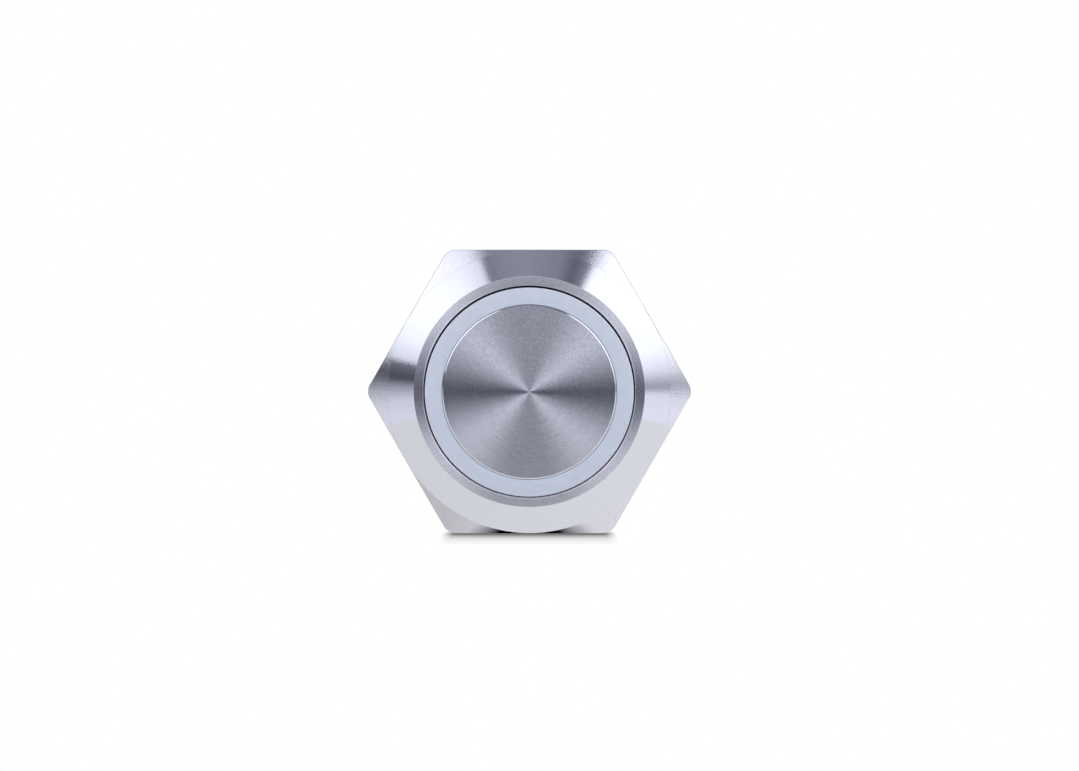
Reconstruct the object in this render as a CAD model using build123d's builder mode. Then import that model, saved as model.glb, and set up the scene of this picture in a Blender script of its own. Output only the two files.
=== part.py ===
from build123d import *
import math
import os

# Illuminated metal push-button switch for a 19 mm panel hole.
# The axis runs along Y. The button faces -Y, and the terminals point to +Y.
# The origin is on the axis, where the front of the panel stops against the gasket.
# Lengths are in millimetres. A name that ends in _d is a diameter, and one in _r a radius.

# Thread and barrel
thread_d = 19.0
barrel_length = 17.0
barrel_wall = 1.05
barrel_end_chamfer = 0.5

# Rolled lip that holds the insides in the barrel
lip_thickness = 0.5
lip_overlap = 0.45

# Head
head_overhang = 1.35
rim_height = 0.8
bevel_height = 1.2
bezel_width = 0.73
mouth_step = 0.35
mouth_length = 4.8
mouth_chamfer = 0.12

# Gasket, washer and nut
gasket_thickness = 0.8
gasket_inset = 0.2
gasket_bore_clearance = 0.1
panel_space = 2.2
washer_thickness = 0.8
washer_stock = 0.5
washer_inset = 0.25
washer_band = 0.5
washer_bore_clearance = 0.1
washer_teeth = 10
washer_tooth_width = 2.2
washer_tooth_twist = 8.0
nut_past_head = 0.1
nut_corner_cut = 0.18
nut_face_inset = 0.55
nut_chamfer_angle = 30.0
nut_thickness = 3.0
nut_bore_clearance = 0.05

# Button
travel = 3.0
button_proud = 0.2
disc_proud = 0.05
disc_edge = 0.15
disc_seat_depth = 1.4
disc_joint = 0.08
stud_d = 3.0
stud_length = 2.6
front_gap = 0.15
slide_clearance = 0.05
seat_clearance = 0.03

# Light ring
ring_width = 1.2
ring_front_length = 0.8
ring_edge = 0.1
web_thickness = 1.0
cup_wall = 1.15
flange_clearance = 0.07
flange_thickness = 2.2

# Seal in the light ring's groove
seal_section = 0.8
seal_side_clearance = 0.05
seal_floor_clearance = 0.02

# Plunger
plunger_head_clearance = 0.2
plunger_head_thickness = 1.0
stem_wall = 0.67
stem_reach = 1.0
tail_d = 2.0
tail_past_clip = 0.6

# Return spring
return_wire_d = 0.45
return_turns = 3.5
spring_end_gap = 0.03
wire_sides = 6

# Lamps, their board and the carrier
led_height = 0.5
led_length = 2.0
led_width = 1.25
led_count = 4
led_stop_clearance = 0.3
board_thickness = 0.8
board_clearance = 0.5
board_hole_step = 0.2
post_clearance = 0.3
post_wall = 2.8
carrier_flange_thickness = 1.4
carrier_flange_clearance = 0.4
carrier_floor = 1.0
stem_clearance = 0.08
housing_fit = 0.05

# Contacts
contact_spring_length = 3.0
contact_wire_d = 0.3
contact_spring_gap = 0.3
contact_turns = 2.5
bridge_thickness = 0.5
bridge_inset = 0.1
bridge_waist = 1.6
bridge_eye_wall = 0.4
bridge_pad_margin = 0.55
tail_clearance = 0.1
clip_thickness = 0.4
clip_band = 1.17
clip_groove_depth = 0.3
clip_opening = 1.1
contact_d = 1.7
bridge_contact_height = 0.4
fixed_contact_height = 0.5
contact_gap = 1.5

# Terminals
blade_thickness = 0.5
blade_width = 2.8
blade_length = 7.0
blade_hole_d = 1.2
blade_tip = 0.6
blade_bend = 0.6
foot_margin = 0.05
foot_well_gap = 0.2
lamp_pin_inset = 1.0
lamp_pin_width = 1.0
lamp_pin_past_board = 0.4
slot_clearance = 0.03
pin_slot_clearance = 0.1

# Base block and resin
chamber_wall = 1.2
base_tail_clearance = 0.1
base_tail_length = 8.0
base_end_chamfer = 0.4
pin_slot_depth = 2.0
well_side_clearance = 0.4
well_end_clearance = 0.5
guide_gap = 0.1
guide_thickness = 0.8
guide_length = 1.6
guide_past_bridge = 0.4
resin_recess_wall = 1.0
resin_recess_depth = 1.5
resin_below_rim = 0.2

# Places along the axis, from the panel forwards
head_back = -gasket_thickness
rim_front = head_back - rim_height
bezel_front = rim_front - bevel_height
ring_front = bezel_front - button_proud
disc_front = ring_front - disc_proud
web_front = ring_front + disc_seat_depth
web_back = web_front + web_thickness
mouth_back = bezel_front + mouth_length
seal_front = ring_front + ring_front_length
seal_back = seal_front + seal_section + 2 * seal_side_clearance
flange_back = mouth_back + flange_thickness

# Places along the axis, from the web back to the contacts
plunger_head_back = web_back + plunger_head_thickness
board_front = web_back + travel + led_stop_clearance + led_height
carrier_front = board_front + board_thickness
carrier_flange_front = flange_back + travel + carrier_flange_clearance
carrier_back = carrier_flange_front + carrier_flange_thickness
spring_seat = carrier_back - carrier_floor
stem_back = carrier_back + stem_reach
bridge_front = stem_back + contact_spring_length
bridge_back = bridge_front + bridge_thickness
clip_back = bridge_back + clip_thickness
tail_back = clip_back + tail_past_clip
fixed_face = bridge_back + bridge_contact_height + contact_gap
foot_front = fixed_face + fixed_contact_height
chamber_floor = foot_front + blade_thickness
well_back = tail_back + travel + well_end_clearance

# Places along the axis, behind the panel
lip_front = barrel_length - lip_thickness
washer_front = panel_space
nut_front = washer_front + washer_thickness
nut_back = nut_front + nut_thickness
base_back = barrel_length + base_tail_length
resin_front = base_back - resin_recess_depth
resin_back = base_back - resin_below_rim
blade_back = base_back + blade_length

# Radii of the barrel and the head
thread_r = thread_d / 2
bore_r = thread_r - barrel_wall
lip_r = bore_r - lip_overlap
mouth_r = bore_r - mouth_step
bezel_r = mouth_r + bezel_width
head_r = thread_r + head_overhang
gasket_r = head_r - gasket_inset
washer_r = head_r - washer_inset

# Sizes of the nut, which shows a little past the head on its flats
nut_half_flats = head_r + nut_past_head
nut_corner_r = nut_half_flats / math.cos(math.pi / 6) - nut_corner_cut
nut_face_r = nut_half_flats - nut_face_inset

# Radii of the button, from the mouth inwards
ring_front_r = mouth_r - front_gap
slide_r = mouth_r - slide_clearance
flange_r = bore_r - flange_clearance
disc_pocket_r = ring_front_r - ring_width
disc_r = disc_pocket_r - disc_joint
cup_bore_r = slide_r - cup_wall
groove_r = slide_r - seal_section - seal_floor_clearance

# Radii of the plunger and what goes round it
stud_hole_r = stud_d / 2 + seat_clearance
stem_r = stud_hole_r + stem_wall
post_r = cup_bore_r - post_clearance
carrier_bore_r = post_r - post_wall
return_coil_r = (stem_r + carrier_bore_r) / 2
plunger_head_r = carrier_bore_r - plunger_head_clearance
tail_r = tail_d / 2
contact_coil_r = tail_r + contact_spring_gap + contact_wire_d / 2
groove_floor_r = tail_r - clip_groove_depth
clip_bore_r = groove_floor_r + seat_clearance
clip_r = clip_bore_r + clip_band

# Lamp board, and the place of the lamps and lamp blades on it
board_r = cup_bore_r - board_clearance
board_hole_r = carrier_bore_r + board_hole_step
lamp_circle_r = (board_r + board_hole_r) / 2
lamp_blade_z = board_r - lamp_pin_inset

# Radii of what stands in the barrel
fitted_r = bore_r - housing_fit
chamber_r = fitted_r - chamber_wall
base_tail_r = lip_r - base_tail_clearance
resin_recess_r = base_tail_r - resin_recess_wall
well_r = clip_r + well_side_clearance

# Places of the contacts and switch blades across the base
foot_inner_x = well_r + foot_well_gap
contact_x = foot_inner_x + foot_margin + contact_d / 2
switch_blade_x = contact_x + contact_d / 2 + blade_bend - blade_thickness / 2


def across(y):
    """Plane square to the axis at y, with its own x along X and its own y along Z."""
    return Plane.XZ.offset(-y)


def ring_section(inner_r, outer_r, front, back):
    """Rectangular half section of a ring round the axis."""
    with BuildSketch(Plane.XY) as section:
        with BuildLine():
            Polyline((inner_r, front), (outer_r, front), (outer_r, back), (inner_r, back), close=True)
        make_face()
    return section.sketch


def coil_path(wire_d, coil_r, turns, front, back):
    """Helix of a coil's wire round the axis, between two seats."""
    first = front + wire_d / 2 + spring_end_gap
    length = back - front - wire_d - 2 * spring_end_gap
    with BuildLine() as path:
        Helix(length / turns, length, coil_r, center=(0, first, 0), direction=(0, 1, 0))
    return path.line


# Head, bezel ring and threaded barrel, turned from one bar
with BuildPart() as housing:
    with BuildSketch(Plane.XY):
        with BuildLine():
            Polyline(
                (mouth_r + mouth_chamfer, bezel_front),
                (bezel_r, bezel_front),
                (head_r, rim_front),
                (head_r, head_back),
                (thread_r, head_back),
                (thread_r, barrel_length - barrel_end_chamfer),
                (thread_r - barrel_end_chamfer, barrel_length),
                (lip_r, barrel_length),
                (lip_r, lip_front),
                (bore_r, lip_front),
                (bore_r, mouth_back),
                (mouth_r, mouth_back),
                (mouth_r, bezel_front + mouth_chamfer),
                close=True,
            )
        make_face()
    revolve(axis=Axis.Y)
housing.part.label = "housing"

# Flat rubber gasket between the head and the panel
with BuildPart() as panel_gasket:
    revolve(ring_section(thread_r + gasket_bore_clearance, gasket_r, head_back, 0), Axis.Y)
panel_gasket.part.label = "panel_gasket"

# Washer with twisted teeth round its bore
washer_middle = washer_front + washer_thickness / 2
washer_bore_r = thread_r + washer_bore_clearance
washer_band_r = washer_r - washer_band
tooth_root_r = (washer_band_r + washer_r) / 2
tooth_twist = math.radians(washer_tooth_twist)
band_front = washer_middle - washer_stock / 2
band_back = washer_middle + washer_stock / 2
with BuildPart() as lock_washer:
    for tooth in range(washer_teeth):
        turn = math.radians(tooth * 360 / washer_teeth)
        lean = math.sin(tooth_twist)
        spoke = Plane(
            origin=(0, washer_middle, 0),
            x_dir=(math.cos(turn), 0, math.sin(turn)),
            z_dir=(-lean * math.sin(turn), math.cos(tooth_twist), lean * math.cos(turn)),
        )
        with BuildSketch(spoke.offset(-washer_stock / 2)):
            with Locations((thread_r, 0)):
                Rectangle(washer_r - thread_r, washer_tooth_width, align=(Align.MIN, Align.CENTER))
        extrude(amount=washer_stock)
    revolve(ring_section(washer_bore_r, tooth_root_r, washer_front, nut_front), Axis.Y, mode=Mode.INTERSECT)
    revolve(ring_section(washer_band_r, washer_r, band_front, band_back), Axis.Y)
lock_washer.part.label = "lock_washer"

# Hexagon nut with two level flats, both faces chamfered to a cone
nut_bore_r = thread_r + nut_bore_clearance
nut_corner_drop = (nut_corner_r - nut_face_r) * math.tan(math.radians(nut_chamfer_angle))
with BuildPart() as panel_nut:
    with BuildSketch(across(nut_front)):
        RegularPolygon(nut_half_flats, 6, major_radius=False)
        Circle(nut_bore_r, mode=Mode.SUBTRACT)
    extrude(amount=-nut_thickness)
    with BuildSketch(Plane.XY):
        with BuildLine():
            Polyline(
                (nut_bore_r, nut_front),
                (nut_face_r, nut_front),
                (nut_corner_r, nut_front + nut_corner_drop),
                (nut_corner_r, nut_back - nut_corner_drop),
                (nut_face_r, nut_back),
                (nut_bore_r, nut_back),
                close=True,
            )
        make_face()
    revolve(axis=Axis.Y, mode=Mode.INTERSECT)
panel_nut.part.label = "panel_nut"

# Translucent light guide: lit ring in front, web behind the disc, cup round the lamps
with BuildPart() as light_ring:
    with BuildSketch(Plane.XY):
        with BuildLine():
            Polyline(
                (disc_pocket_r, ring_front),
                (ring_front_r - ring_edge, ring_front),
                (ring_front_r, ring_front + ring_edge),
                (ring_front_r, seal_front),
                (groove_r, seal_front),
                (groove_r, seal_back),
                (slide_r, seal_back),
                (slide_r, mouth_back),
                (flange_r, mouth_back),
                (flange_r, flange_back),
                (cup_bore_r, flange_back),
                (cup_bore_r, web_back),
                (stud_hole_r, web_back),
                (stud_hole_r, web_front),
                (disc_pocket_r, web_front),
                close=True,
            )
        make_face()
    revolve(axis=Axis.Y)
light_ring.part.label = "light_ring"

# Square rubber ring that slides in the head's mouth
seal_side = seal_front + seal_side_clearance
with BuildPart() as button_seal:
    revolve(ring_section(slide_r - seal_section, slide_r, seal_side, seal_side + seal_section), Axis.Y)
button_seal.part.label = "button_seal"

# Brushed disc with the stud that holds it to the plunger
with BuildPart() as button_disc:
    with BuildSketch(across(disc_front)):
        Circle(disc_r)
    extrude(amount=-(web_front - disc_front))
    chamfer(button_disc.edges().group_by(Axis.Y)[0], disc_edge)
    with BuildSketch(across(web_front)):
        Circle(stud_d / 2)
    extrude(amount=-stud_length)
button_disc.part.label = "button_disc"

# Rod from the disc's stud to the contact bridge
with BuildPart() as plunger:
    with BuildSketch(Plane.XY):
        with BuildLine():
            Polyline(
                (0, web_front + stud_length + seat_clearance),
                (stud_hole_r, web_front + stud_length + seat_clearance),
                (stud_hole_r, web_back),
                (plunger_head_r, web_back),
                (plunger_head_r, plunger_head_back),
                (stem_r, plunger_head_back),
                (stem_r, stem_back),
                (tail_r, stem_back),
                (tail_r, bridge_back),
                (groove_floor_r, bridge_back),
                (groove_floor_r, clip_back),
                (tail_r, clip_back),
                (tail_r, tail_back),
                (0, tail_back),
                close=True,
            )
        make_face()
    revolve(axis=Axis.Y)
plunger.part.label = "plunger"

# Coil that pushes the button forwards
return_path = coil_path(return_wire_d, return_coil_r, return_turns, plunger_head_back, spring_seat)
with BuildPart() as return_spring:
    with BuildSketch(Plane(origin=return_path @ 0, z_dir=return_path % 0)):
        RegularPolygon(return_wire_d / 2, wire_sides)
    sweep(path=return_path, is_frenet=True)
return_spring.part.label = "return_spring"

# White moulding: post inside the light ring, spring well, and flange on the base block
pin_slot_width = lamp_pin_width + 2 * pin_slot_clearance
pin_slot_height = blade_thickness + 2 * pin_slot_clearance
with BuildPart() as led_carrier:
    with BuildSketch(Plane.XY):
        with BuildLine():
            Polyline(
                (carrier_bore_r, carrier_front),
                (post_r, carrier_front),
                (post_r, carrier_flange_front),
                (fitted_r, carrier_flange_front),
                (fitted_r, carrier_back),
                (stem_r + stem_clearance, carrier_back),
                (stem_r + stem_clearance, spring_seat),
                (carrier_bore_r, spring_seat),
                close=True,
            )
        make_face()
    revolve(axis=Axis.Y)
    with BuildSketch(across(carrier_front)):
        with Locations((0, lamp_blade_z), (0, -lamp_blade_z)):
            Rectangle(pin_slot_width, pin_slot_height)
    extrude(amount=carrier_front - carrier_back, mode=Mode.SUBTRACT)
led_carrier.part.label = "led_carrier"

# Annular board with a slot for each lamp pin
with BuildPart() as led_board:
    with BuildSketch(across(board_front)):
        Circle(board_r)
        Circle(board_hole_r, mode=Mode.SUBTRACT)
        with Locations((0, lamp_blade_z), (0, -lamp_blade_z)):
            Rectangle(pin_slot_width, pin_slot_height, mode=Mode.SUBTRACT)
    extrude(amount=-board_thickness)
led_board.part.label = "led_board"

# Lamps spread round the board, and one resistor between two of them
with BuildPart() as leds:
    with BuildSketch(across(board_front)):
        with PolarLocations(lamp_circle_r, led_count, start_angle=180 / led_count):
            Rectangle(led_width, led_length)
    extrude(amount=led_height)
leds.part.label = "leds"

with BuildPart() as led_resistor:
    with BuildSketch(across(board_front)):
        with Locations((lamp_circle_r, 0)):
            Rectangle(led_width, led_length)
    extrude(amount=led_height)
led_resistor.part.label = "led_resistor"

# Coil that presses the bridge on the fixed contacts
contact_path = coil_path(contact_wire_d, contact_coil_r, contact_turns, stem_back, bridge_front)
with BuildPart() as contact_spring:
    with BuildSketch(Plane(origin=contact_path @ 0, z_dir=contact_path % 0)):
        RegularPolygon(contact_wire_d / 2, wire_sides)
    sweep(path=contact_path, is_frenet=True)
contact_spring.part.label = "contact_spring"

# Bar across the plunger's tail, narrower between its two contacts
with BuildPart() as contact_bridge:
    with BuildSketch(across(bridge_front)):
        Rectangle(2 * contact_x, bridge_waist)
        Circle(tail_r + tail_clearance + bridge_eye_wall)
        with Locations((contact_x, 0), (-contact_x, 0)):
            Rectangle(contact_d + 2 * bridge_pad_margin, blade_width - 2 * bridge_inset)
        Circle(tail_r + tail_clearance, mode=Mode.SUBTRACT)
    extrude(amount=-bridge_thickness)
contact_bridge.part.label = "contact_bridge"


# Silver discs welded on the bridge's rear face, and on the fixed strips' front faces
contact_fronts = {
    "bridge_contacts": (bridge_back, bridge_contact_height),
    "fixed_contacts": (fixed_face, fixed_contact_height),
}
contact_pairs = []
for name, (contact_front, height) in contact_fronts.items():
    with BuildPart() as contact_pair:
        with BuildSketch(across(contact_front)):
            with Locations((contact_x, 0), (-contact_x, 0)):
                Circle(contact_d / 2)
        extrude(amount=-height)
    contact_pair.part.label = name
    contact_pairs.append(contact_pair)

# Open ring in the groove of the plunger's tail
with BuildPart() as bridge_clip:
    with BuildSketch(across(bridge_back)):
        Circle(clip_r)
        Circle(clip_bore_r, mode=Mode.SUBTRACT)
        with Locations((0, -clip_r / 2)):
            Rectangle(clip_opening, clip_r, mode=Mode.SUBTRACT)
    extrude(amount=-clip_thickness)
bridge_clip.part.label = "bridge_clip"


# Strips that lie under a fixed contact, bend, and leave the base as blades
switch_terminals = []
for side, letter in ((1, "a"), (-1, "b")):
    outer_x = side * (switch_blade_x + blade_thickness / 2)
    inner_x = side * (switch_blade_x - blade_thickness / 2)
    with BuildPart() as terminal:
        with BuildSketch(Plane.XY.offset(-blade_width / 2)):
            with BuildLine():
                Polyline(
                    (side * foot_inner_x, foot_front),
                    (outer_x, foot_front),
                    (outer_x, blade_back),
                    (inner_x, blade_back),
                    (inner_x, chamber_floor),
                    (side * foot_inner_x, chamber_floor),
                    close=True,
                )
            make_face()
        extrude(amount=blade_width)
        bend_edge = terminal.edges().filter_by(Axis.Z).group_by(Axis.Y)[0].sort_by(Axis.X)
        fillet(bend_edge[-1] if side > 0 else bend_edge[0], blade_bend)
        chamfer(terminal.edges().group_by(Axis.Y)[-1].filter_by(Axis.X), blade_tip)
        with BuildSketch(Plane.YZ.offset(inner_x)):
            with Locations((blade_back - blade_width / 2, 0)):
                Circle(blade_hole_d / 2)
        extrude(amount=side * blade_thickness, mode=Mode.SUBTRACT)
    terminal.part.label = f"switch_terminal_{letter}"
    switch_terminals.append(terminal)

# Blades through the base, each with a narrow pin that reaches the lamp board
pin_root = chamber_floor + pin_slot_depth
pin_front = board_front - lamp_pin_past_board
lamp_terminals = []
for side, letter in ((1, "a"), (-1, "b")):
    with BuildPart() as terminal:
        with BuildSketch(Plane.XY.offset(side * lamp_blade_z - blade_thickness / 2)):
            with Locations((0, (pin_root + blade_back) / 2)):
                Rectangle(blade_width, blade_back - pin_root)
            with Locations((0, (pin_front + pin_root) / 2)):
                Rectangle(lamp_pin_width, pin_root - pin_front)
            with Locations((0, blade_back - blade_width / 2)):
                Circle(blade_hole_d / 2, mode=Mode.SUBTRACT)
        extrude(amount=blade_thickness)
        chamfer(terminal.edges().group_by(Axis.Y)[-1].filter_by(Axis.Z), blade_tip)
    terminal.part.label = f"lamp_terminal_{letter}"
    lamp_terminals.append(terminal)


# Openings that the four blades pass through
slot_length = blade_width + 2 * slot_clearance
slot_width = blade_thickness + 2 * slot_clearance

# Black moulding: contact chamber in the barrel, solid tail behind it with a resin recess
with BuildPart() as base_block:
    with BuildSketch(Plane.XY):
        with BuildLine():
            Polyline(
                (chamber_r, carrier_back),
                (fitted_r, carrier_back),
                (fitted_r, lip_front),
                (base_tail_r, lip_front),
                (base_tail_r, base_back - base_end_chamfer),
                (base_tail_r - base_end_chamfer, base_back),
                (resin_recess_r, base_back),
                (resin_recess_r, resin_front),
                (0, resin_front),
                (0, well_back),
                (well_r, well_back),
                (well_r, chamber_floor),
                (chamber_r, chamber_floor),
                close=True,
            )
        make_face()
    revolve(axis=Axis.Y)
    guide_z = blade_width / 2 + guide_gap + guide_thickness / 2
    with BuildSketch(across(chamber_floor)):
        with GridLocations(2 * contact_x + guide_length, 2 * guide_z, 2, 2):
            Rectangle(guide_length, guide_thickness)
    extrude(amount=chamber_floor - bridge_front + guide_past_bridge)
    with BuildSketch(across(chamber_floor)):
        with Locations((switch_blade_x, 0), (-switch_blade_x, 0)):
            Rectangle(slot_width, slot_length)
        with Locations((0, lamp_blade_z), (0, -lamp_blade_z)):
            Rectangle(pin_slot_width, pin_slot_height)
    extrude(amount=chamber_floor - resin_front, mode=Mode.SUBTRACT)
    with BuildSketch(across(pin_root)):
        with Locations((0, lamp_blade_z), (0, -lamp_blade_z)):
            Rectangle(slot_length, slot_width)
    extrude(amount=pin_root - resin_front, mode=Mode.SUBTRACT)
base_block.part.label = "base_block"

# Resin that fills the recess round the blades
with BuildPart() as terminal_potting:
    with BuildSketch(across(resin_front)):
        Circle(resin_recess_r)
        with Locations((switch_blade_x, 0), (-switch_blade_x, 0)):
            Rectangle(slot_width, slot_length, mode=Mode.SUBTRACT)
        with Locations((0, lamp_blade_z), (0, -lamp_blade_z)):
            Rectangle(slot_length, slot_width, mode=Mode.SUBTRACT)
    extrude(amount=resin_front - resin_back)
terminal_potting.part.label = "terminal_potting"

os.makedirs("parts", exist_ok=True)
pieces = [
    housing,
    panel_gasket,
    lock_washer,
    panel_nut,
    light_ring,
    button_seal,
    button_disc,
    plunger,
    return_spring,
    led_carrier,
    led_board,
    leds,
    led_resistor,
    contact_spring,
    contact_bridge,
    *contact_pairs,
    bridge_clip,
    *switch_terminals,
    *lamp_terminals,
    base_block,
    terminal_potting,
]
for piece in pieces:
    export_step(piece.part, f"parts/{piece.part.label}.step")
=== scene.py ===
"""Looks of the illuminated push-button switch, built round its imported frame."""

import math

import bmesh
import bpy
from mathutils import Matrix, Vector


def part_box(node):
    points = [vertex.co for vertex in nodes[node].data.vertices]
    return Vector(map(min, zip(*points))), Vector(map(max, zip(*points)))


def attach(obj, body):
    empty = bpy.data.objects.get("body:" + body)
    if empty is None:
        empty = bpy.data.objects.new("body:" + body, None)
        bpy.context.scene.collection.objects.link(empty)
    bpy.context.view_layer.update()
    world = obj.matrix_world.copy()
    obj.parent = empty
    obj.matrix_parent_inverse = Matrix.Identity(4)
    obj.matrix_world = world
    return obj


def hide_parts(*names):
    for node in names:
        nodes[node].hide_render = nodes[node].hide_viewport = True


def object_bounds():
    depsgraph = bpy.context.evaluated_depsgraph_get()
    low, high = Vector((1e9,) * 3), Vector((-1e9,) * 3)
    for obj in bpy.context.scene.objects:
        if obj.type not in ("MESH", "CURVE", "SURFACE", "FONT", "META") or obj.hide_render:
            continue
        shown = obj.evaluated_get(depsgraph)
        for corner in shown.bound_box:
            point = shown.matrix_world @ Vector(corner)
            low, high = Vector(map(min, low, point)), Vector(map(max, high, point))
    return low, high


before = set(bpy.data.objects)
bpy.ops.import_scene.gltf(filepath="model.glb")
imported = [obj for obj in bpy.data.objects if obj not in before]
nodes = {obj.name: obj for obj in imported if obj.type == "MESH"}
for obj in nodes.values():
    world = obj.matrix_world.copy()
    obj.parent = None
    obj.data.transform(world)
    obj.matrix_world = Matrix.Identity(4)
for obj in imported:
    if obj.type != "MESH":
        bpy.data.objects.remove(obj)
cad_low, cad_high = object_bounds()

MM = 0.001
TURN = 2 * math.pi

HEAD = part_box("housing")
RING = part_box("light_ring")
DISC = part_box("button_disc")
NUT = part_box("panel_nut")
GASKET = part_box("panel_gasket")

# Meshes
ROUND_STEPS = 4
SEGMENTS = 180
NUT_SEGMENTS = 360
FLAT_ANGLE = math.radians(28)
NUT_FLAT_ANGLE = math.radians(12)
WELD = 0.5e-6
# Most that a fillet may take of the sides next to it
FILLET_SHARE = 0.49


def finish_mesh(name, verts, faces, body, replaced, materials, flat_angle=FLAT_ANGLE):
    """Makes a closed, outward-facing piece from points in metres, and seats it in the frame."""
    mesh = bpy.data.meshes.new(name)
    mesh.from_pydata(verts, [], faces)
    work = bmesh.new()
    work.from_mesh(mesh)
    bmesh.ops.remove_doubles(work, verts=work.verts, dist=WELD)
    bmesh.ops.dissolve_degenerate(work, edges=work.edges, dist=WELD)
    bmesh.ops.recalc_face_normals(work, faces=work.faces)
    work.to_mesh(mesh)
    work.free()
    mesh.shade_smooth()
    mesh.set_sharp_from_angle(angle=flat_angle)
    piece = bpy.data.objects.new(name, mesh)
    bpy.context.scene.collection.objects.link(piece)
    weighted = piece.modifiers.new("even_normals", "WEIGHTED_NORMAL")
    weighted.keep_sharp = True
    for material in materials:
        mesh.materials.append(material)
    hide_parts(replaced)
    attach(piece, body)
    return piece


def rounded(corners):
    """Profile points from (radius, y, fillet) in metres, each corner rounded by its fillet."""
    points = []
    count = len(corners)
    for i, (r, y, fillet) in enumerate(corners):
        here = Vector((r, y))
        if fillet <= 0:
            points.append(here)
            continue
        before = Vector(corners[i - 1][:2]) - here
        after = Vector(corners[(i + 1) % count][:2]) - here
        half = before.angle(after) / 2
        longest = FILLET_SHARE * min(before.length, after.length)
        reach = min(fillet / math.tan(half), longest)
        radius = reach * math.tan(half)
        start = here + before.normalized() * reach
        inwards = (before.normalized() + after.normalized()).normalized()
        middle = here + inwards * (radius / math.sin(half))
        first = math.atan2(start.y - middle.y, start.x - middle.x)
        end = here + after.normalized() * reach
        last = math.atan2(end.y - middle.y, end.x - middle.x)
        sweep = (last - first + math.pi) % TURN - math.pi
        for k in range(ROUND_STEPS + 1):
            angle = first + sweep * k / ROUND_STEPS
            points.append(middle + radius * Vector((math.cos(angle), math.sin(angle))))
    return points


def turned_rows(points, segments, drop=0.0):
    """Rings of points round the Y axis, or a line that far below it, one for each (radius, y)."""
    angles = [TURN * k / segments for k in range(segments)]
    rows = []
    for r, y in points:
        rows.append([(r * math.cos(angle), y, r * math.sin(angle) - drop) for angle in angles])
    return rows


def joined_rows(rows, closed=True):
    """Vertices and quads that join rings of equal count in order."""
    segments = len(rows[0])
    verts = [point for ring in rows for point in ring]
    faces = []
    last = len(rows) if closed else len(rows) - 1
    for i in range(last):
        a = i * segments
        b = ((i + 1) % len(rows)) * segments
        for k in range(segments):
            n = (k + 1) % segments
            faces.append((a + k, a + n, b + n, b + k))
    return verts, faces


# Materials
# Range that most values of a noise texture fall in
NOISE_LOW, NOISE_HIGH = 0.3, 0.7
# Sets the long highlight of a brushed face across its rings, as a share of a whole turn
BRUSH_ROTATION = 0.25


class Nodes:
    """Short names for building one node material."""

    def __init__(self, name):
        self.material = bpy.data.materials.new(name)
        self.material.use_nodes = True
        self.tree = self.material.node_tree
        self.bsdf = self.tree.nodes["Principled BSDF"]
        self.coords = self.new("ShaderNodeTexCoord").outputs["Object"]

    def new(self, kind, **values):
        node = self.tree.nodes.new(kind)
        for key, value in values.items():
            setattr(node, key, value)
        return node

    def link(self, output, target):
        self.tree.links.new(output, target)

    def math(self, operation, a, b=0.0, clamp=False):
        node = self.new("ShaderNodeMath", operation=operation, use_clamp=clamp)
        for socket, value in zip(node.inputs, (a, b)):
            if isinstance(value, (int, float)):
                socket.default_value = value
            else:
                self.link(value, socket)
        return node.outputs[0]

    def place(self):
        """Outputs X, Y and Z of the place, in metres."""
        split = self.new("ShaderNodeSeparateXYZ")
        self.link(self.coords, split.inputs[0])
        return split.outputs

    def radius(self):
        """Distance from the Y axis, in metres."""
        x, _, z = self.place()
        squares = [self.math("MULTIPLY", side, side) for side in (x, z)]
        return self.math("SQRT", self.math("ADD", *squares))

    def noise(self, scale, detail, roughness, value=None):
        """3-D noise of the place, or 1-D noise of a value."""
        node = self.new("ShaderNodeTexNoise", noise_dimensions="1D" if value else "3D")
        if value:
            self.link(value, node.inputs["W"])
        else:
            self.link(self.coords, node.inputs["Vector"])
        node.inputs["Scale"].default_value = scale
        node.inputs["Detail"].default_value = detail
        node.inputs["Roughness"].default_value = roughness
        return node.outputs["Fac"]

    def spread(self, value, low, high, from_low=NOISE_LOW, from_high=NOISE_HIGH):
        """Maps a value, by default a noise, to a range."""
        node = self.new("ShaderNodeMapRange")
        self.link(value, node.inputs["Value"])
        node.inputs["From Min"].default_value = from_low
        node.inputs["From Max"].default_value = from_high
        node.inputs["To Min"].default_value = low
        node.inputs["To Max"].default_value = high
        return node.outputs["Result"]

    def tint(self, value, dark, light):
        """Colour between two, by a noise value or another that has its range."""
        node = self.new("ShaderNodeMix", data_type="RGBA")
        self.link(self.spread(value, 0.0, 1.0), node.inputs["Factor"])
        node.inputs["A"].default_value = (*dark, 1)
        node.inputs["B"].default_value = (*light, 1)
        return node.outputs["Result"]

    def bump(self, height, depth):
        """Makes the surface uneven by a height, to a depth in metres."""
        node = self.new("ShaderNodeBump")
        node.inputs["Distance"].default_value = depth
        self.link(height, node.inputs["Height"])
        self.link(node.outputs["Normal"], self.bsdf.inputs["Normal"])

    def constants(self, **values):
        """Sets the shader's own sockets, named with _ for each space."""
        for key, value in values.items():
            self.bsdf.inputs[key.replace("_", " ")].default_value = value


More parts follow.
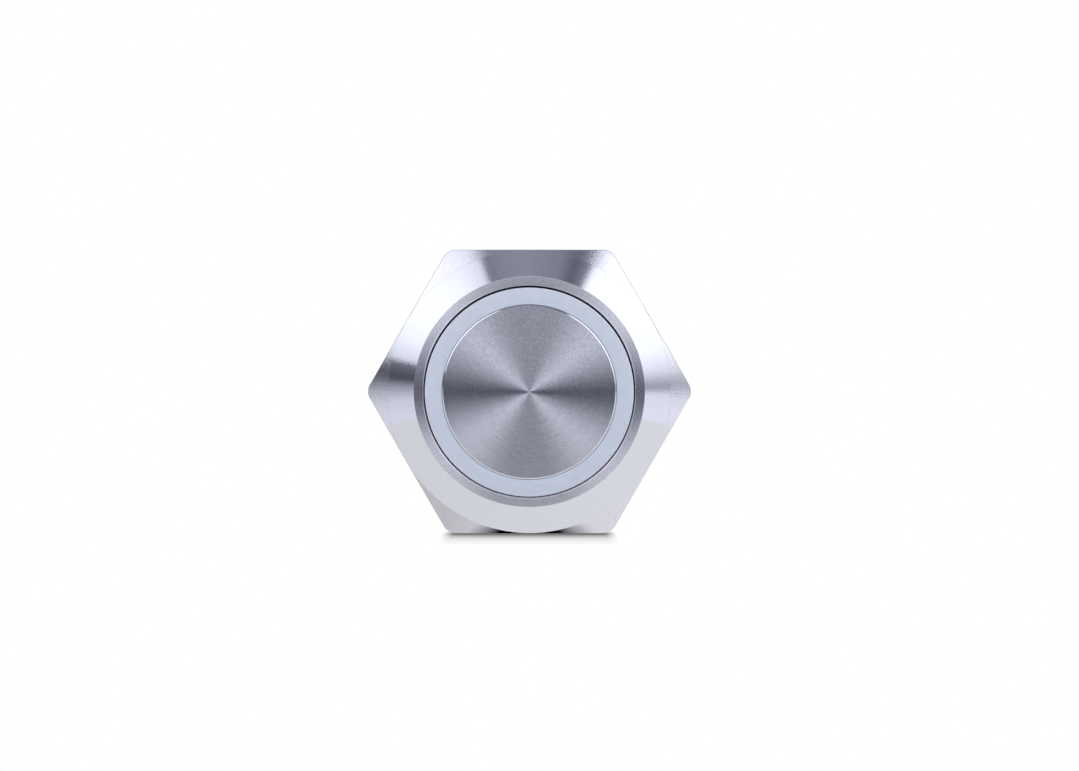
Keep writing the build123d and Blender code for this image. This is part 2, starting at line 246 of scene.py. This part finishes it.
def turned_metal(name, dark, light, rough, anisotropy, lines, line_depth, mottle, grain):
    """Metal brushed in fine rings round the axis, with a finer or coarser mottling over them."""
    m = Nodes(name)
    fine = m.noise(lines, detail=3.0, roughness=0.6, value=m.radius())
    cloud = m.noise(grain, detail=4.0, roughness=0.6)
    m.link(m.tint(cloud, dark, light), m.bsdf.inputs["Base Color"])
    m.link(m.spread(fine, *rough), m.bsdf.inputs["Roughness"])
    tangent = m.new("ShaderNodeTangent", direction_type="RADIAL", axis="Y")
    m.link(tangent.outputs[0], m.bsdf.inputs["Tangent"])
    m.constants(Metallic=1.0, Anisotropic=anisotropy, Anisotropic_Rotation=BRUSH_ROTATION)
    m.bump(m.math("ADD", fine, m.math("MULTIPLY", cloud, mottle)), line_depth)
    return m.material


def plain_metal(name, dark, light, rough, grain, depth):
    """Plated or drawn metal with a fine grain."""
    m = Nodes(name)
    cloud = m.noise(grain, detail=4.0, roughness=0.6)
    m.link(m.tint(cloud, dark, light), m.bsdf.inputs["Base Color"])
    m.link(m.spread(cloud, *rough), m.bsdf.inputs["Roughness"])
    m.constants(Metallic=1.0)
    m.bump(cloud, depth)
    return m.material


def moulded(name, dark, light, rough, grain, depth, **constants):
    """Plastic, rubber or resin with a fine surface grain."""
    m = Nodes(name)
    cloud = m.noise(grain, detail=3.0, roughness=0.55)
    m.link(m.tint(cloud, dark, light), m.bsdf.inputs["Base Color"])
    m.link(m.spread(cloud, *rough), m.bsdf.inputs["Roughness"])
    m.constants(**constants)
    m.bump(cloud, depth)
    return m.material


STEEL_DARK = (0.63, 0.64, 0.695)
STEEL_LIGHT = (0.69, 0.70, 0.76)
bezel_steel = turned_metal(
    "bezel_steel",
    dark=(0.58, 0.585, 0.655),
    light=(0.74, 0.745, 0.825),
    rough=(0.20, 0.24),
    anisotropy=1.0,
    lines=14000.0,
    line_depth=0.5e-6,
    mottle=4.0,
    grain=9000.0,
)
head_steel = turned_metal(
    "head_steel",
    dark=STEEL_DARK,
    light=STEEL_LIGHT,
    rough=(0.03, 0.05),
    anisotropy=0.7,
    lines=9000.0,
    line_depth=0.4e-6,
    mottle=6.0,
    grain=10000.0,
)
barrel_steel = turned_metal(
    "barrel_steel",
    dark=STEEL_DARK,
    light=STEEL_LIGHT,
    rough=(0.22, 0.32),
    anisotropy=0.4,
    lines=9000.0,
    line_depth=1e-6,
    mottle=0.0,
    grain=2500.0,
)
disc_steel = turned_metal(
    "disc_steel",
    dark=(0.59, 0.60, 0.68),
    light=(0.73, 0.735, 0.82),
    rough=(0.17, 0.22),
    anisotropy=1.0,
    lines=14000.0,
    line_depth=0.6e-6,
    mottle=2.5,
    grain=9000.0,
)
nut_steel = turned_metal(
    "nut_steel",
    dark=(0.60, 0.59, 0.65),
    light=(0.75, 0.74, 0.80),
    rough=(0.04, 0.07),
    anisotropy=0.5,
    lines=9000.0,
    line_depth=0.5e-6,
    mottle=11.0,
    grain=10000.0,
)
ring_plastic = moulded(
    "ring_plastic",
    dark=(0.655, 0.695, 0.77),
    light=(0.685, 0.725, 0.80),
    rough=(0.28, 0.36),
    grain=1500.0,
    depth=1e-6,
    Subsurface_Weight=0.35,
    Subsurface_Scale=0.8 * MM,
)

MATERIALS = {
    "panel_gasket": moulded(
        "gasket_rubber",
        dark=(0.012, 0.012, 0.013),
        light=(0.022, 0.022, 0.023),
        rough=(0.6, 0.8),
        grain=3000.0,
        depth=6e-6,
    ),
    "button_seal": moulded(
        "seal_rubber",
        dark=(0.012, 0.012, 0.013),
        light=(0.02, 0.02, 0.021),
        rough=(0.5, 0.65),
        grain=3000.0,
        depth=4e-6,
    ),
    "lock_washer": plain_metal(
        "washer_steel",
        dark=(0.50, 0.50, 0.52),
        light=(0.62, 0.62, 0.63),
        rough=(0.28, 0.42),
        grain=2500.0,
        depth=2e-6,
    ),
    "plunger": moulded(
        "plunger_nylon",
        dark=(0.68, 0.66, 0.60),
        light=(0.74, 0.72, 0.66),
        rough=(0.4, 0.5),
        grain=1500.0,
        depth=3e-6,
    ),
    "return_spring": plain_metal(
        "spring_wire",
        dark=(0.42, 0.42, 0.43),
        light=(0.55, 0.55, 0.56),
        rough=(0.2, 0.32),
        grain=6000.0,
        depth=1e-6,
    ),
    "led_carrier": moulded(
        "carrier_white",
        dark=(0.74, 0.74, 0.72),
        light=(0.80, 0.80, 0.78),
        rough=(0.4, 0.5),
        grain=1500.0,
        depth=3e-6,
    ),
    "led_board": moulded(
        "board_mask",
        dark=(0.02, 0.12, 0.04),
        light=(0.03, 0.17, 0.06),
        rough=(0.25, 0.35),
        grain=4000.0,
        depth=3e-6,
    ),
    "leds": moulded(
        "led_lens",
        dark=(0.80, 0.76, 0.45),
        light=(0.86, 0.82, 0.52),
        rough=(0.2, 0.3),
        grain=3000.0,
        depth=1e-6,
    ),
    "led_resistor": moulded(
        "resistor_ceramic",
        dark=(0.02, 0.02, 0.02),
        light=(0.05, 0.05, 0.05),
        rough=(0.35, 0.5),
        grain=5000.0,
        depth=2e-6,
    ),
    "contact_bridge": plain_metal(
        "bridge_brass",
        dark=(0.66, 0.45, 0.22),
        light=(0.76, 0.55, 0.30),
        rough=(0.25, 0.38),
        grain=3000.0,
        depth=2e-6,
    ),
    "bridge_contacts": plain_metal(
        "contact_silver",
        dark=(0.78, 0.77, 0.74),
        light=(0.86, 0.85, 0.82),
        rough=(0.2, 0.3),
        grain=4000.0,
        depth=1e-6,
    ),
    "bridge_clip": plain_metal(
        "clip_steel",
        dark=(0.40, 0.40, 0.42),
        light=(0.50, 0.50, 0.52),
        rough=(0.3, 0.4),
        grain=3000.0,
        depth=2e-6,
    ),
    "terminals": plain_metal(
        "blade_plating",
        dark=(0.66, 0.65, 0.62),
        light=(0.76, 0.75, 0.72),
        rough=(0.28, 0.42),
        grain=3000.0,
        depth=0.7e-6,
    ),
    "base_block": moulded(
        "base_nylon",
        dark=(0.012, 0.012, 0.014),
        light=(0.022, 0.022, 0.024),
        rough=(0.38, 0.52),
        grain=2200.0,
        depth=5e-6,
    ),
    "terminal_potting": moulded(
        "potting_resin",
        dark=(0.010, 0.010, 0.011),
        light=(0.018, 0.018, 0.02),
        rough=(0.12, 0.22),
        grain=500.0,
        depth=2e-5,
    ),
}
SAME_MATERIAL = {
    "contact_spring": "return_spring",
    "fixed_contacts": "bridge_contacts",
    "switch_terminal_a": "terminals",
    "switch_terminal_b": "terminals",
    "lamp_terminal_a": "terminals",
    "lamp_terminal_b": "terminals",
}
SHOWN_BY_PIECES = ("housing", "light_ring", "button_disc", "panel_nut")
for name, node in nodes.items():
    if name in SHOWN_BY_PIECES:
        continue
    node.data.materials.clear()
    node.data.materials.append(MATERIALS[SAME_MATERIAL.get(name, name)])

# Head and threaded barrel
THREAD_R = 9.5 * MM
ROOT_R = 8.96 * MM
PITCH = 1.0 * MM
BORE_R = 8.45 * MM
LIP_R = 8.0 * MM
LIP_FRONT = 16.5 * MM
MOUTH_R = 8.10 * MM
MOUTH_BACK = 2.0 * MM
BEZEL_R = 8.83 * MM
BEVEL_HEIGHT = 1.2 * MM
MOUTH_CHAMFER = 0.12 * MM
CHAMFER_DEPTH = 0.045 * MM
CHAMFER_EDGE = 0.02 * MM
BEZEL_EDGE = 0.04 * MM
RIM_EDGE = 0.06 * MM
UNDERSIDE_EDGE = 0.08 * MM
head_r = HEAD[1].x
bezel_y = HEAD[0].y
rim_y = bezel_y + BEVEL_HEIGHT
head_back = GASKET[0].y
barrel_back = HEAD[1].y

THREAD_START = head_back + 0.05 * MM
RUN_OUT = 1.4 * MM
THREAD_PHASES = (0.0, 0.0625, 0.125, 0.28125, 0.4375, 0.5625, 0.6875, 0.84375)
CREST_END, ROOT_START, ROOT_END = 0.125, 0.4375, 0.6875
FACE_MARGIN = 0.01 * MM


def thread_depth(phase):
    """Share of the thread's depth at a phase of its pitch: 1 on the crest, 0 in the root."""
    if phase <= CREST_END:
        return 1.0
    if phase <= ROOT_START:
        return (ROOT_START - phase) / (ROOT_START - CREST_END)
    if phase <= ROOT_END:
        return 0.0
    return (phase - ROOT_END) / (1 - ROOT_END)


def thread_rings():
    """Rings that follow the helix from the head to the barrel's end."""
    rings = []
    turns = math.ceil((barrel_back - THREAD_START) / PITCH) + 1
    for whole in range(-1, turns):
        for phase in THREAD_PHASES:
            ring = []
            for k in range(SEGMENTS + 1):
                y = THREAD_START + (whole + phase + k / SEGMENTS) * PITCH
                y = min(max(y, THREAD_START), barrel_back)
                fade = min(1.0, max(0.0, (y - THREAD_START) / RUN_OUT))
                r = ROOT_R + (THREAD_R - ROOT_R) * thread_depth(phase) * fade
                r = min(r, ROOT_R + (barrel_back - y))
                angle = TURN * k / SEGMENTS
                ring.append((r * math.cos(angle), y, r * math.sin(angle)))
            rings.append(ring)
    return rings


def threaded_barrel():
    """Head, bezel ring, thread and bore as one closed mesh."""
    outer = rounded(
        [
            (MOUTH_R, MOUTH_BACK, 0),
            (MOUTH_R, bezel_y + CHAMFER_DEPTH, CHAMFER_EDGE),
            (MOUTH_R + MOUTH_CHAMFER, bezel_y, CHAMFER_EDGE),
            (BEZEL_R, bezel_y, BEZEL_EDGE),
            (head_r, rim_y, RIM_EDGE),
            (head_r, head_back, UNDERSIDE_EDGE),
            (ROOT_R, head_back, 0),
            (ROOT_R, THREAD_START, 0),
        ]
    )
    inner = [
        (ROOT_R, barrel_back),
        (LIP_R, barrel_back),
        (LIP_R, LIP_FRONT),
        (BORE_R, LIP_FRONT),
        (BORE_R, MOUTH_BACK),
        (MOUTH_R, MOUTH_BACK),
    ]
    verts, faces = joined_rows(turned_rows(outer, SEGMENTS), closed=False)
    more, quads = joined_rows(turned_rows(inner, SEGMENTS), closed=False)
    faces += [tuple(i + len(verts) for i in quad) for quad in quads]
    verts += more
    rings = thread_rings()
    base = len(verts)
    width = SEGMENTS + 1
    verts += [point for ring in rings for point in ring]
    for i in range(len(rings) - 1):
        for k in range(SEGMENTS):
            a = base + i * width + k
            faces.append((a, a + 1, a + 1 + width, a + width))
    metals = [head_steel, barrel_steel, bezel_steel]
    piece = finish_mesh("threaded_barrel", verts, faces, "switch", "housing", metals)
    for face in piece.data.polygons:
        if face.center.y > head_back - FACE_MARGIN:
            face.material_index = 1
        elif face.center.y < bezel_y + FACE_MARGIN:
            face.material_index = 2


threaded_barrel()

# Nut
NUT_BORE_R = 9.55 * MM
NUT_COUNTERSINK = 0.35 * MM
NUT_FACE_R = 10.40 * MM
NUT_EDGE = 0.03 * MM
CHAMFER_SLOPE = math.tan(math.radians(30))
FLAT_TURN = TURN / 6
half_flats = NUT[1].z
nut_corner_r = NUT[1].x


def hexagon_radius(angle):
    """Radius of the hexagon with level flats, its corners blunted to the corner circle."""
    off = (angle + FLAT_TURN / 2) % FLAT_TURN - FLAT_TURN / 2
    return min(half_flats / math.cos(FLAT_TURN / 2 - abs(off)), nut_corner_r)


def hex_nut():
    """Chamfered hexagon nut with countersunk bore."""
    rows = []

    def ring(radius_at, y_at):
        points = []
        for k in range(NUT_SEGMENTS):
            angle = TURN * k / NUT_SEGMENTS
            r = radius_at(angle)
            points.append((r * math.cos(angle), y_at(r), r * math.sin(angle)))
        rows.append(points)

    def side(face, inwards, reverse):
        """Rings from the bore over one face to the flats, or back from the flats to the bore."""

        def cone(r):
            return face + inwards * (r - NUT_FACE_R) * CHAMFER_SLOPE

        steps = [
            (lambda a: NUT_BORE_R, lambda r: face + inwards * NUT_COUNTERSINK),
            (lambda a: NUT_BORE_R + NUT_COUNTERSINK, lambda r: face),
            (lambda a: NUT_FACE_R - NUT_EDGE, lambda r: face),
            (lambda a: NUT_FACE_R + NUT_EDGE, cone),
            (lambda a: hexagon_radius(a) - NUT_EDGE, cone),
            (hexagon_radius, lambda r: cone(r) + inwards * NUT_EDGE),
        ]
        for radius_at, y_at in reversed(steps) if reverse else steps:
            ring(radius_at, y_at)

    side(NUT[0].y, 1, False)
    side(NUT[1].y, -1, True)
    verts, faces = joined_rows(rows)
    finish_mesh("hex_nut", verts, faces, "nut", "panel_nut", [nut_steel], NUT_FLAT_ANGLE)


hex_nut()

# Light ring and disc
POCKET_R = 6.70 * MM
RING_FRONT_R = 7.99 * MM
SLIDE_R = 8.05 * MM
FLANGE_R = 8.38 * MM
GROOVE_R = 7.23 * MM
GROOVE_FRONT = RING[0].y + 0.8 * MM
GROOVE_BACK = GROOVE_FRONT + 0.9 * MM
CUP_R = 6.9 * MM
STUD_HOLE_R = 1.53 * MM
# The button hangs in the clearance of its slide
HANG = 0.045 * MM
WEB_FRONT = RING[0].y + 1.4 * MM
WEB_BACK = WEB_FRONT + 1.0 * MM
POCKET_EDGE = 0.03 * MM
RING_EDGE = 0.05 * MM
GROOVE_EDGE = 0.03 * MM
DISC_EDGE = 0.03 * MM
DISC_CHAMFER = 0.10 * MM
DISC_CHAMFER_DEPTH = 0.06 * MM
STUD_R = 1.5 * MM
STUD_EDGE = 0.1 * MM
CENTRE_R = 0.09 * MM
CENTRE_DEPTH = 0.03 * MM
CENTRE_FLOOR_R = 0.02 * MM


def lit_ring():
    """Milky light guide with a softly rounded front."""
    profile = rounded(
        [
            (POCKET_R, RING[0].y, POCKET_EDGE),
            (RING_FRONT_R, RING[0].y, RING_EDGE),
            (RING_FRONT_R, GROOVE_FRONT, GROOVE_EDGE),
            (GROOVE_R, GROOVE_FRONT, 0),
            (GROOVE_R, GROOVE_BACK, 0),
            (SLIDE_R, GROOVE_BACK, GROOVE_EDGE),
            (SLIDE_R, MOUTH_BACK, 0),
            (FLANGE_R, MOUTH_BACK, 0),
            (FLANGE_R, RING[1].y, 0),
            (CUP_R, RING[1].y, 0),
            (CUP_R, WEB_BACK, 0),
            (STUD_HOLE_R, WEB_BACK, 0),
            (STUD_HOLE_R, WEB_FRONT, 0),
            (POCKET_R, WEB_FRONT, 0),
        ]
    )
    verts, faces = joined_rows(turned_rows(profile, SEGMENTS, HANG))
    finish_mesh("lit_ring", verts, faces, "button", "light_ring", [ring_plastic])


def brushed_disc():
    """Disc with a bright chamfered edge, a tiny centre mark and its stud."""
    profile = rounded(
        [
            (CENTRE_FLOOR_R, DISC[0].y + CENTRE_DEPTH, 0),
            (CENTRE_R, DISC[0].y, 0),
            (DISC[1].x - DISC_CHAMFER, DISC[0].y, DISC_EDGE),
            (DISC[1].x, DISC[0].y + DISC_CHAMFER_DEPTH, DISC_EDGE),
            (DISC[1].x, WEB_FRONT, 0),
            (STUD_R, WEB_FRONT, 0),
            (STUD_R, DISC[1].y, STUD_EDGE),
            (CENTRE_FLOOR_R, DISC[1].y, 0),
        ]
    )
    verts, faces = joined_rows(turned_rows(profile, SEGMENTS, HANG), closed=False)
    back = (len(profile) - 1) * SEGMENTS
    faces.append(tuple(range(SEGMENTS)))
    faces.append(tuple(back + k for k in range(SEGMENTS)))
    metals = [disc_steel, head_steel]
    piece = finish_mesh("brushed_disc", verts, faces, "button", "button_disc", metals)
    for face in piece.data.polygons:
        if face.center.y > DISC[0].y + FACE_MARGIN:
            face.material_index = 1


lit_ring()
brushed_disc()

# Studio, in metres: a round wall of light panels beside the object and a round screen before it
STUDIO_TINT = (0.96, 0.98, 1.06)
DIM_TINT = (0.95, 1.0, 1.2)
STUDIO_GREY = 0.35
WALL_R = 0.34
WALL_NEAR = -0.30
WALL_FAR = 0.12
SCREEN_Y = -0.74
SCREEN_R = 0.82
DARK_MIDDLE = (0.05, 0.13)
PANEL_SIDES = 72

# Light levels round the axis, as (degrees from +X towards +Z, level)
WALL_LEVELS = (
    (-180, 0.6), (-176, 0.9), (-168, 1.0), (-90, 1.05), (-12, 1.13), (-1, 1.05),
    (1, 0.45), (4, 0.6), (9, 1.1), (18, 1.5), (40, 1.7), (55, 1.64),
    (62.5, 1.45), (63.5, 0.34), (70, 0.16), (76, 0.3), (92, 0.37), (104, 0.33),
    (109.6, 0.26), (110.6, 1.05), (122, 1.42), (140, 1.62), (156, 1.42), (166.2, 1.0),
    (167.3, 0.22), (175, 0.08), (176.5, 0.34), (180, 0.6),
)
SCREEN_LEVELS = (
    (0, 0.0), (10, 0.42), (37, 1.62), (48, 1.4), (62, 1.0), (70, 0.86),
    (108, 0.86), (118, 1.1), (139, 1.6), (150, 1.05), (170, 0.35), (180, 0.0),
    (-180, 0.0), (-170, 0.42), (-142, 1.6), (-112, 0.66), (-68, 0.66), (-40, 1.6),
    (-30, 1.15), (-10, 0.4),
)
LEVEL_TOP = 1.8


def panel_light(name, levels, dark_middle=None):
    """Soft light, bluer where dim. Its level changes round the axis and may fade inwards."""
    m = Nodes(name)
    m.tree.nodes.remove(m.bsdf)
    x, _, z = m.place()
    turn = m.math("DIVIDE", m.math("ARCTAN2", z, x), TURN)
    ramp = m.new("ShaderNodeValToRGB")
    m.link(m.math("ADD", turn, 0.5), ramp.inputs["Fac"])
    stops = sorted((degrees / 360 + 0.5, level / LEVEL_TOP) for degrees, level in levels)
    elements = ramp.color_ramp.elements
    elements[0].position, elements[1].position = stops[0][0], stops[-1][0]
    elements[0].color = (stops[0][1],) * 3 + (1,)
    elements[1].color = (stops[-1][1],) * 3 + (1,)
    for position, level in stops[1:-1]:
        elements.new(position).color = (level, level, level, 1)
    glow = m.new("ShaderNodeEmission")
    level = m.math("MULTIPLY", ramp.outputs["Color"], LEVEL_TOP)
    m.link(m.tint(level, DIM_TINT, STUDIO_TINT), glow.inputs["Color"])
    if dark_middle:
        level = m.math("MULTIPLY", level, m.spread(m.radius(), 0.0, 1.0, *dark_middle))
    m.link(level, glow.inputs["Strength"])
    m.link(glow.outputs[0], m.tree.nodes["Material Output"].inputs["Surface"])
    return m.material


def stage_piece(name, verts, faces, material, seen):
    """A piece of the studio, which the camera may see or not."""
    mesh = bpy.data.meshes.new(name)
    mesh.from_pydata(verts, [], faces)
    mesh.materials.append(material)
    piece = bpy.data.objects.new(name, mesh)
    bpy.context.scene.collection.objects.link(piece)
    piece.visible_camera = seen


wall_light = panel_light("wall_panels", WALL_LEVELS)
screen_light = panel_light("screen_panels", SCREEN_LEVELS, DARK_MIDDLE)
wall_rows = turned_rows([(WALL_R, WALL_NEAR), (WALL_R, WALL_FAR)], PANEL_SIDES)
stage_piece("light_wall", *joined_rows(wall_rows, closed=False), wall_light, False)
(screen_ring,) = turned_rows([(SCREEN_R, SCREEN_Y)], PANEL_SIDES)
stage_piece("light_screen", screen_ring, [tuple(range(PANEL_SIDES))], screen_light, False)

# Floor
FLOOR_Z = cad_low.z
FLOOR_HALF = 45 * MM
FLOOR_NEAR = -50 * MM
FLOOR_FAR = 60 * MM
FLOOR_GREY = 0.86
SHADE_SAMPLES = 32

# Shadow that the camera sees: a strip as wide as the nut's lower flat, narrower behind it
contact_half = half_flats * math.tan(FLAT_TURN / 2)
SHADOW_REACH = 40 * MM
SHADOW_DEPTH = 4.0
SHADOW_FLOOR = 0.17
SHADOW_INSIDE = 0.5 * MM
SHADOW_OUTSIDE = 0.4 * MM

# Floor in reflections: its level from the left to the right
FLOOR_LEVELS = (0.93, 1.0)
FLOOR_TURN = (-8 * MM, 10 * MM)
# ... darker where the rim stands close before the nut
MIRRORED_REACH = 0.9 * MM
MIRRORED_DEPTH = 2.5
MIRRORED_INSIDE, MIRRORED_OUTSIDE = 2.4 * MM, 5.2 * MM
REAR_FADE = 0.3 * MM
# ... darker at the nut's left corner
CORNER_SHADE = 0.2
CORNER_FROM, CORNER_TO = -7 * MM, 0.0
# ... and darker before the middle of the head
FRONT_SHADE = 0.55
FRONT_START, FRONT_END = -2.5 * MM, -10 * MM
FRONT_INSIDE, FRONT_OUTSIDE = 3 * MM, 8 * MM


def floor_material():
    """Pale floor, white but for shadows to the camera and in reflections, clear from below."""
    m = Nodes("floor_paper")
    m.tree.nodes.remove(m.bsdf)
    paper = m.new("ShaderNodeBsdfDiffuse")
    paper.inputs["Color"].default_value = (FLOOR_GREY, FLOOR_GREY, FLOOR_GREY, 1)
    openness = []
    for reach in (SHADOW_REACH, MIRRORED_REACH):
        contact = m.new("ShaderNodeAmbientOcclusion", samples=SHADE_SAMPLES)
        contact.inputs["Distance"].default_value = reach
        openness.append(contact.outputs["AO"])
    open_share = m.math("POWER", openness[0], SHADOW_DEPTH)
    shadow = m.spread(open_share, 1.0 - SHADOW_FLOOR, 0.0, 0.0, 1.0)
    near_shadow = m.math("SUBTRACT", 1.0, m.math("POWER", openness[1], MIRRORED_DEPTH))
    across = m.math("ABSOLUTE", m.place()["X"])
    softness = m.spread(m.place()["Y"], SHADOW_INSIDE, contact_half, NUT[1].y, cad_high.y)
    inside = m.math("SUBTRACT", contact_half + SHADOW_OUTSIDE, across)
    under = m.math("DIVIDE", inside, m.math("ADD", softness, SHADOW_OUTSIDE), clamp=True)
    behind = m.spread(m.place()["Y"], 0.0, 1.0, rim_y, rim_y + REAR_FADE)
    path = m.new("ShaderNodeLightPath").outputs
    mirrored = m.math("MAXIMUM", path["Is Glossy Ray"], path["Is Transmission Ray"])
    seen_shade = m.math("MULTIPLY", shadow, under)
    beside = m.spread(across, 1.0, 0.0, MIRRORED_INSIDE, MIRRORED_OUTSIDE)
    corner = m.spread(m.place()["X"], CORNER_SHADE, 0.0, CORNER_FROM, CORNER_TO)
    close = m.math("MULTIPLY", near_shadow, beside)
    mirrored_shade = m.math("MULTIPLY", m.math("MAXIMUM", close, corner), behind)
    slant = m.spread(m.place()["X"], *FLOOR_LEVELS, *FLOOR_TURN)
    front = m.spread(m.place()["Y"], FRONT_SHADE, 0.0, bezel_y + FRONT_END, bezel_y + FRONT_START)
    middle = m.spread(across, 1.0, 0.0, FRONT_INSIDE, FRONT_OUTSIDE)
    slant = m.math("MULTIPLY", slant, m.math("SUBTRACT", 1.0, m.math("MULTIPLY", front, middle)))
    mirrored_level = m.math("MULTIPLY", m.math("SUBTRACT", slant, mirrored_shade), mirrored)
    seen_level = m.math("MULTIPLY", m.math("SUBTRACT", 1.0, seen_shade), path["Is Camera Ray"])
    level = m.math("ADD", seen_level, mirrored_level)
    glow = m.new("ShaderNodeEmission")
    m.link(level, glow.inputs["Strength"])
    choice = m.new("ShaderNodeMixShader")
    m.link(m.math("MAXIMUM", path["Is Camera Ray"], mirrored), choice.inputs["Fac"])
    m.link(paper.outputs[0], choice.inputs[1])
    m.link(glow.outputs[0], choice.inputs[2])
    from_below = m.new("ShaderNodeMixShader")
    m.link(m.new("ShaderNodeNewGeometry").outputs["Backfacing"], from_below.inputs["Fac"])
    m.link(choice.outputs[0], from_below.inputs[1])
    m.link(m.new("ShaderNodeBsdfTransparent").outputs[0], from_below.inputs[2])
    m.link(from_below.outputs[0], m.tree.nodes["Material Output"].inputs["Surface"])
    return m.material


floor_corners = [
    (-FLOOR_HALF, FLOOR_NEAR, FLOOR_Z),
    (FLOOR_HALF, FLOOR_NEAR, FLOOR_Z),
    (FLOOR_HALF, FLOOR_FAR, FLOOR_Z),
    (-FLOOR_HALF, FLOOR_FAR, FLOOR_Z),
]
stage_piece("floor", floor_corners, [(0, 1, 2, 3)], floor_material(), True)

# Background: white for the camera, dim for all else
world = bpy.data.worlds.new("studio")
bpy.context.scene.world = world
world.use_nodes = True
tree = world.node_tree
room = tree.nodes["Background"]
room.inputs["Color"].default_value = (*DIM_TINT, 1)
room.inputs["Strength"].default_value = STUDIO_GREY
backdrop = tree.nodes.new("ShaderNodeBackground")
backdrop.inputs["Color"].default_value = (1, 1, 1, 1)
either = tree.nodes.new("ShaderNodeMixShader")
path = tree.nodes.new("ShaderNodeLightPath")
tree.links.new(path.outputs["Is Camera Ray"], either.inputs["Fac"])
tree.links.new(room.outputs[0], either.inputs[1])
tree.links.new(backdrop.outputs[0], either.inputs[2])
tree.links.new(either.outputs[0], tree.nodes["World Output"].inputs["Surface"])

# Camera, placed so that the head's centre and size land where the photograph has them
PHOTO_WIDTH = 1079
PHOTO_HEIGHT = 771
PX_PER_MM = 13.08
HEAD_PX = (529.3, 391.5)
CAMERA_AWAY = 0.60
SENSOR = 36.0
CLIP_NEAR, CLIP_FAR = 0.01, 10.0

camera_data = bpy.data.cameras.new("camera")
camera_data.sensor_width = SENSOR
camera_data.lens = SENSOR * CAMERA_AWAY / (PHOTO_WIDTH / PX_PER_MM * MM)
camera_data.clip_start = CLIP_NEAR
camera_data.clip_end = CLIP_FAR
camera = bpy.data.objects.new("camera", camera_data)
bpy.context.scene.collection.objects.link(camera)
bpy.context.scene.camera = camera
camera.location = (
    (PHOTO_WIDTH / 2 - HEAD_PX[0]) / PX_PER_MM * MM,
    bezel_y - CAMERA_AWAY,
    (HEAD_PX[1] - PHOTO_HEIGHT / 2) / PX_PER_MM * MM,
)
camera.rotation_euler = (math.pi / 2, 0, 0)

bpy.context.scene.view_settings.view_transform = "Standard"
